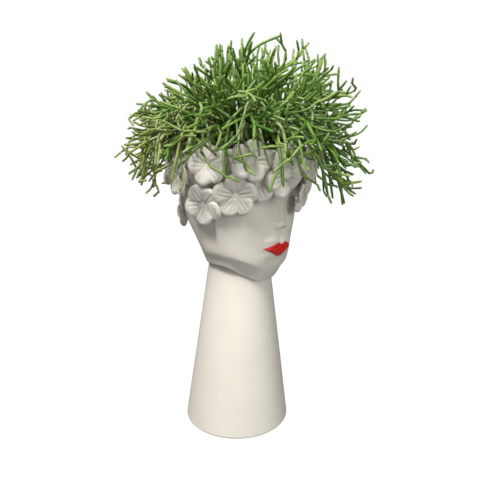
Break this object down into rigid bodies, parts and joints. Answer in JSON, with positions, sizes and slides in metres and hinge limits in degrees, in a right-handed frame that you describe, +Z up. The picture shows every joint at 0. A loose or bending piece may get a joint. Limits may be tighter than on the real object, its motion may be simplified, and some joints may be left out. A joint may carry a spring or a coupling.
{
  "type": "head planter",
  "caption": "Ceramic head-shaped planter on a conical neck pedestal, with a crown of flowers, painted lips and a lift-out pot of trailing stem cactus.",
  "frame": {"origin": "centre of the pedestal's foot, on the surface that it stands on", "axes": "+Z up, -Y the way the face looks, +X the face's own left"},
  "size_m": [0.3334, 0.3322, 0.5287],
  "materials": {
    "ceramic": "matte",
    "lip_paint": "semi-gloss",
    "stopper": "matte",
    "pot": "matte",
    "mix": "rough",
    "stems": "satin"
  },
  "bodies": {
    "planter": {"neck_pedestal": "ceramic", "head_pot": "ceramic", "lips": "lip_paint", "flower_01": "ceramic", "flower_02": "ceramic", "flower_03": "ceramic", "flower_04": "ceramic", "flower_05": "ceramic", "flower_06": "ceramic", "flower_07": "ceramic", "flower_08": "ceramic", "flower_09": "ceramic", "flower_10": "ceramic", "flower_11": "ceramic", "flower_12": "ceramic", "flower_13": "ceramic", "flower_14": "ceramic", "flower_15": "ceramic", "flower_16": "ceramic", "flower_17": "ceramic", "flower_18": "ceramic", "flower_19": "ceramic", "flower_20": "ceramic", "flower_21": "ceramic", "flower_22": "ceramic", "flower_23": "ceramic"},
    "stopper": {"drain_stopper": "stopper"},
    "growing_pot_and_plant": {"growing_pot": "pot", "potting_mix": "mix", "cactus_clump_01": "stems", "cactus_clump_02": "stems", "cactus_clump_03": "stems", "cactus_clump_04": "stems", "cactus_clump_05": "stems", "cactus_clump_06": "stems", "cactus_clump_07": "stems", "cactus_clump_08": "stems", "cactus_clump_09": "stems", "cactus_clump_10": "stems", "cactus_clump_11": "stems", "cactus_clump_12": "stems"}
  },
  "joints": [
    {"name": "pot_lift", "type": "slide", "parent": "planter", "child": "growing_pot_and_plant", "axis": [0, 0, 1], "range_m": [0, 0.15]},
    {"name": "stopper_lift", "type": "slide", "parent": "planter", "child": "stopper", "axis": [0, 0, 1], "range_m": [0, 0.012]}
  ]
}
